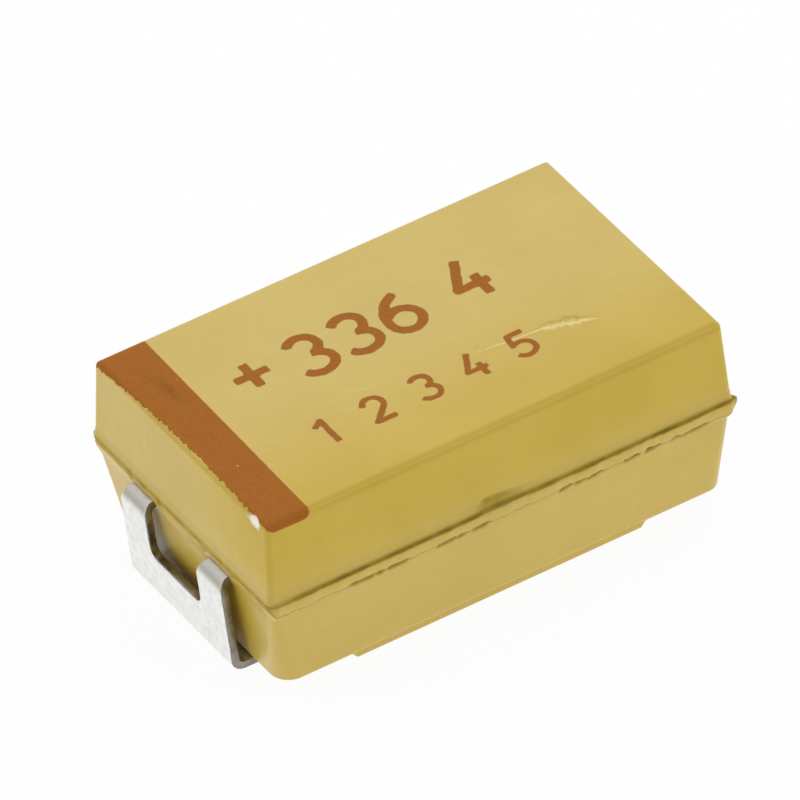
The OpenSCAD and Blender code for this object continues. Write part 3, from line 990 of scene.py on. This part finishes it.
# The white sheet gives light of its own, as a lit table does, which fills in the part's lower walls. The
# camera sees it as white, and so do mirror and glass paths, and it keeps the part's shadow.
floor_material = bpy.data.materials.new("white sheet")
floor_material.use_nodes = True
tree = floor_material.node_tree
tree.nodes.remove(tree.nodes["Principled BSDF"])
rays = add_node(tree, "ShaderNodeLightPath").outputs
seen = add_node(
    tree, "ShaderNodeMath", {0: rays["Is Camera Ray"], 1: rays["Is Glossy Ray"]}, operation="MAXIMUM",
)
seen = add_node(
    tree, "ShaderNodeMath", {0: seen.outputs[0], 1: rays["Is Transmission Ray"]}, operation="MAXIMUM",
)
lit = add_node(tree, "ShaderNodeMath", {0: seen.outputs[0], 1: 0.20, 2: 0.75}, operation="MULTIPLY_ADD")
paper = add_node(tree, "ShaderNodeBsdfDiffuse", {"Color": (0.90, 0.90, 0.90, 1)})
shine = add_node(
    tree, "ShaderNodeMath", {0: seen.outputs[0], 1: -0.28, 2: 1.28}, operation="MULTIPLY_ADD",
)
glow = add_node(tree, "ShaderNodeEmission", {"Color": (1, 1, 1, 1), "Strength": shine.outputs[0]})
both = add_node(tree, "ShaderNodeMixShader", {0: lit.outputs[0], 1: paper.outputs[0], 2: glow.outputs[0]})
tree.links.new(both.outputs[0], tree.nodes["Material Output"].inputs["Surface"])
sheet("floor", 0.8, (0, 0, -0.00001), (0, 0, 1), floor_material)

view_azimuth = math.radians(-29.978)
view_elevation = math.radians(39.834)
view_roll = math.radians(-3.964)
back = Vector((
    math.sin(view_azimuth) * math.cos(view_elevation),
    -math.cos(view_azimuth) * math.cos(view_elevation),
    math.sin(view_elevation),
))
level = Vector((math.cos(view_azimuth), math.sin(view_azimuth), 0))
upward = back.cross(level)
right = level * math.cos(view_roll) + upward * math.sin(view_roll)
up = upward * math.cos(view_roll) - level * math.sin(view_roll)

dark_card = bpy.data.materials.new("dark card")
dark_card.use_nodes = True
card_surface = dark_card.node_tree.nodes["Principled BSDF"]
card_surface.inputs["Base Color"].default_value = (0.04, 0.04, 0.04, 1)
card_surface.inputs["Roughness"].default_value = 0.9
# The dark card is the unlit room, which the rounded front edge and the gloss of the front walls show.
card_way = (back + Vector((0.30, -0.02, 0.03))).normalized()
sheet("card", 0.80, card_way * 0.45 + Vector((0, 0, 0.09)), -card_way, dark_card)

# The room is brighter overhead than at the level of the table.
world = bpy.data.worlds.new("soft room")
scene.world = world
world.use_nodes = True
tree = world.node_tree
facing = add_node(tree, "ShaderNodeTexCoord").outputs["Generated"]
height = add_node(tree, "ShaderNodeSeparateXYZ", {0: facing}).outputs["Z"]
brightness = add_node(
    tree, "ShaderNodeMapRange",
    {"Value": height, "From Min": -0.05, "From Max": 0.75, "To Min": 0.66, "To Max": 1.15},
    interpolation_type="SMOOTHSTEP",
)
tree.nodes["Background"].inputs["Color"].default_value = (1, 1, 1, 1)
tree.links.new(brightness.outputs["Result"], tree.nodes["Background"].inputs["Strength"])


def soft_lamp(name, size, place, watts):
    """A square lamp that faces the part."""
    lamp = bpy.data.lights.new(name, "AREA")
    lamp.shape = "SQUARE"
    lamp.size = size
    lamp.energy = watts
    made = bpy.data.objects.new(name, lamp)
    made.location = place
    made.rotation_euler = Vector(place).to_track_quat("Z", "Y").to_euler()
    scene.collection.objects.link(made)
    return made


soft_lamp("back softbox", 0.10, (0.058, 0.100, 0.100), 0.032)
soft_lamp("left softbox", 0.10, (-0.13, 0.02, 0.09), 0.003)
# The fill brightens the top and the front walls, and makes no reflection of its own.
fill = soft_lamp("front fill", 0.10, (0.086, -0.114, 0.125), 0.095)
fill.data.specular_factor = 0

camera = bpy.data.objects.new("camera", bpy.data.cameras.new("camera"))
camera.data.sensor_width = 36
camera.data.lens = 756.3
camera.data.clip_start = 0.01
camera.data.clip_end = 10
aim = Vector((0, 0, 0.00167))
turned = Matrix((right, up, back)).transposed().to_4x4()
camera.matrix_world = Matrix.Translation(aim + back * 0.2126 - right * 0.0001638 + up * 0.0001996) @ turned
scene.collection.objects.link(camera)
scene.camera = camera
scene.view_settings.view_transform = "Standard"
